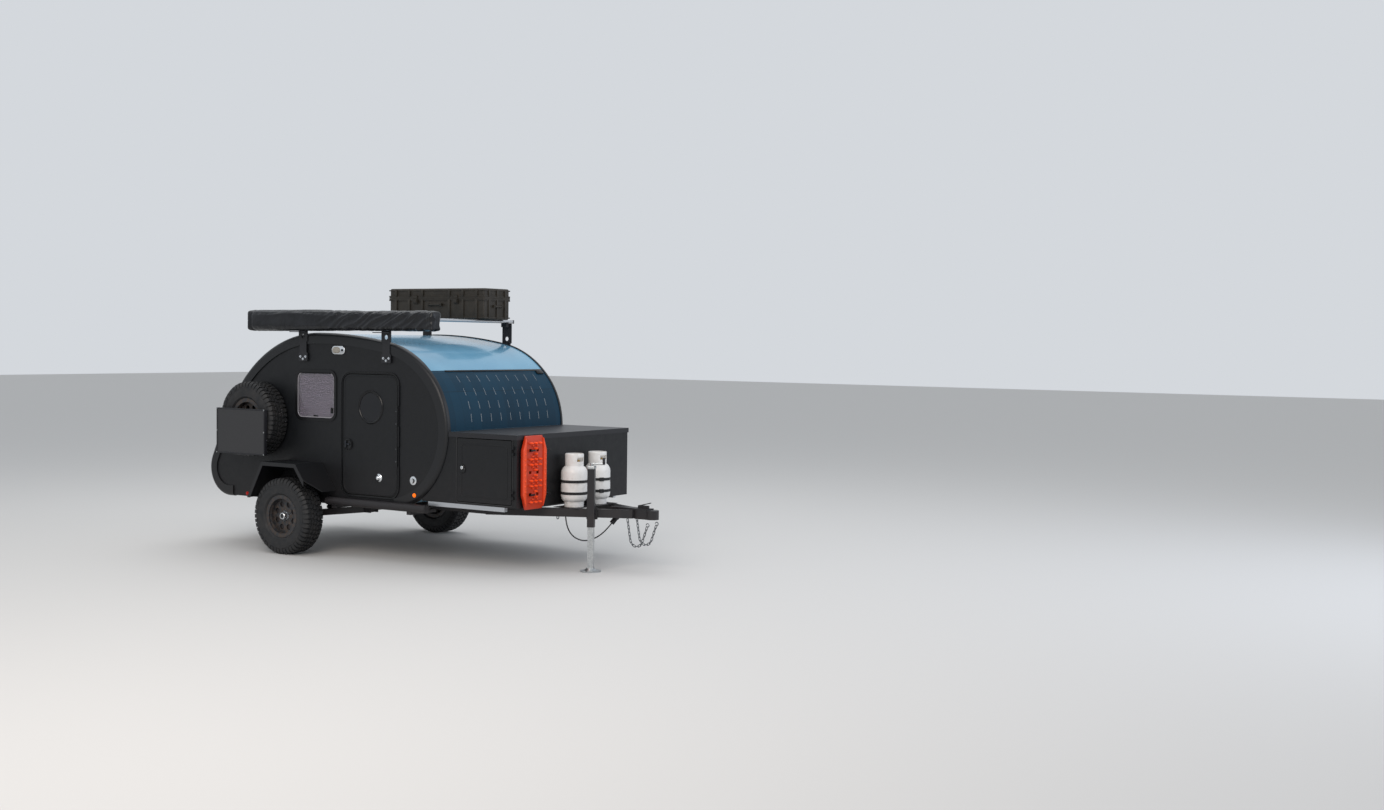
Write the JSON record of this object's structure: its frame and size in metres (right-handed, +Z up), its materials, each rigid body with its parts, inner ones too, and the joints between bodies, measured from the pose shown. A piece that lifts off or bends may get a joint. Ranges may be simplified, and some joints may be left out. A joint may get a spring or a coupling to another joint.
{
  "type": "teardrop camping trailer",
  "caption": "Off-road teardrop camping trailer: curved cabin with side doors and a rear galley hatch, tongue box, roof gear and jack.",
  "frame": {"origin": "on the ground under the middle of the overall length, on the centre line", "axes": "+X forward to the coupler, +Y to the trailer's left, +Z up"},
  "size_m": [4.9066, 2.43, 2.598],
  "materials": {
    "body_black": "fine texture, satin",
    "roof_pale": "gloss",
    "band_black": "satin",
    "glass_grey": "gloss",
    "trim_black": "matte",
    "frame_black": "satin",
    "rail_silver": "brushed",
    "steel_zinc": "zinc plated",
    "tyre_rubber": "matte",
    "rim_dark": "satin",
    "solar_teal": "satin",
    "lens_clear": "gloss",
    "lens_amber": "gloss",
    "lens_red": "gloss",
    "board_red": "matte",
    "bottle_white": "gloss",
    "case_olive": "matte",
    "bag_black": "coated",
    "wood_birch": "satin",
    "rubber_black": "matte",
    "table_grey": "satin"
  },
  "bodies": {
    "trailer": {"chassis_rails": "frame_black", "crossmembers": "frame_black", "tongue_rails": "frame_black", "coupler": "frame_black", "safety_chains": "steel_zinc", "jack_body": "frame_black", "bottle_tray": "frame_black", "gas_bottles": "bottle_white", "box_shell": "body_black", "box_cap": "body_black", "recovery_board": "board_red", "floor_pan": "body_black", "cabin_side_right": "body_black", "cabin_side_left": "body_black", "edge_bands": "band_black", "roof_shell": "roof_pale", "galley_bulkhead": "wood_birch", "opening_trims": "trim_black", "window_panes": "glass_grey", "door_catches": "trim_black", "solar_sheet": "solar_teal", "porch_lamps": "lens_clear", "amber_lamps": "lens_amber", "tail_lamps": "lens_red", "fenders": "body_black", "rock_sliders": "frame_black", "box_rails": "rail_silver", "trailing_arms": "frame_black", "arm_hangers": "frame_black", "air_springs": "rubber_black", "stub_axles": "steel_zinc", "spare_tyre": "tyre_rubber", "spare_rim": "rim_dark", "spare_carrier": "frame_black", "awning_bag": "bag_black", "roof_brackets": "frame_black", "cross_bars": "frame_black", "roof_case": "case_olive", "tow_cable": "rubber_black", "tow_plug": "trim_black", "plug_holder": "frame_black"},
    "wheel_right": {"tyre_right": "tyre_rubber", "rim_right": "rim_dark"},
    "wheel_left": {"tyre_left": "tyre_rubber", "rim_left": "rim_dark"},
    "door_right": {"door_right": "body_black", "porthole_right": "glass_grey", "door_fittings_right": "trim_black"},
    "door_left": {"door_left": "body_black", "porthole_left": "glass_grey", "door_fittings_left": "trim_black"},
    "box_door_right": {"box_door_right": "body_black"},
    "box_door_left": {"box_door_left": "body_black"},
    "rear_hatch": {"rear_hatch": "roof_pale"},
    "camp_table": {"camp_table": "table_grey"},
    "jack_leg": {"jack_leg": "steel_zinc"},
    "case_lid": {"case_lid": "case_olive"}
  },
  "joints": [
    {"name": "wheel_spin_right", "type": "hinge", "parent": "trailer", "child": "wheel_right", "pos_m": [-1.09673, -1.0825, 0.3665], "axis": [0, 1, 0], "continuous": true},
    {"name": "wheel_spin_left", "type": "hinge", "parent": "trailer", "child": "wheel_left", "pos_m": [-1.09673, 1.0825, 0.3665], "axis": [0, 1, 0], "continuous": true},
    {"name": "door_swing_right", "type": "hinge", "parent": "trailer", "child": "door_right", "pos_m": [0.11427, -0.881, 1.1695], "axis": [0, 0, 1], "range_deg": [0, 160]},
    {"name": "door_swing_left", "type": "hinge", "parent": "trailer", "child": "door_left", "pos_m": [0.11427, 0.881, 1.1695], "axis": [0, 0, -1], "range_deg": [0, 160]},
    {"name": "box_door_swing_right", "type": "hinge", "parent": "trailer", "child": "box_door_right", "pos_m": [1.46627, -0.874, 0.9015], "axis": [0, 0, 1], "range_deg": [0, 120]},
    {"name": "box_door_swing_left", "type": "hinge", "parent": "trailer", "child": "box_door_left", "pos_m": [1.46627, 0.874, 0.9015], "axis": [0, 0, -1], "range_deg": [0, 120]},
    {"name": "hatch_swing", "type": "hinge", "parent": "trailer", "child": "rear_hatch", "pos_m": [-1.60073, 0, 1.95666], "axis": [0, 1, 0], "range_deg": [0, 75]},
    {"name": "table_fold", "type": "hinge", "parent": "trailer", "child": "camp_table", "pos_m": [-1.68173, -1.1215, 0.927], "axis": [1, 0, 0], "range_deg": [0, 90]},
    {"name": "jack_slide", "type": "slide", "parent": "trailer", "child": "jack_leg", "axis": [0, 0, 1], "range_m": [0, 0.35]},
    {"name": "case_lid_swing", "type": "hinge", "parent": "trailer", "child": "case_lid", "pos_m": [-0.56673, 0.828, 2.498], "axis": [-1, 0, 0], "range_deg": [0, 95]}
  ]
}
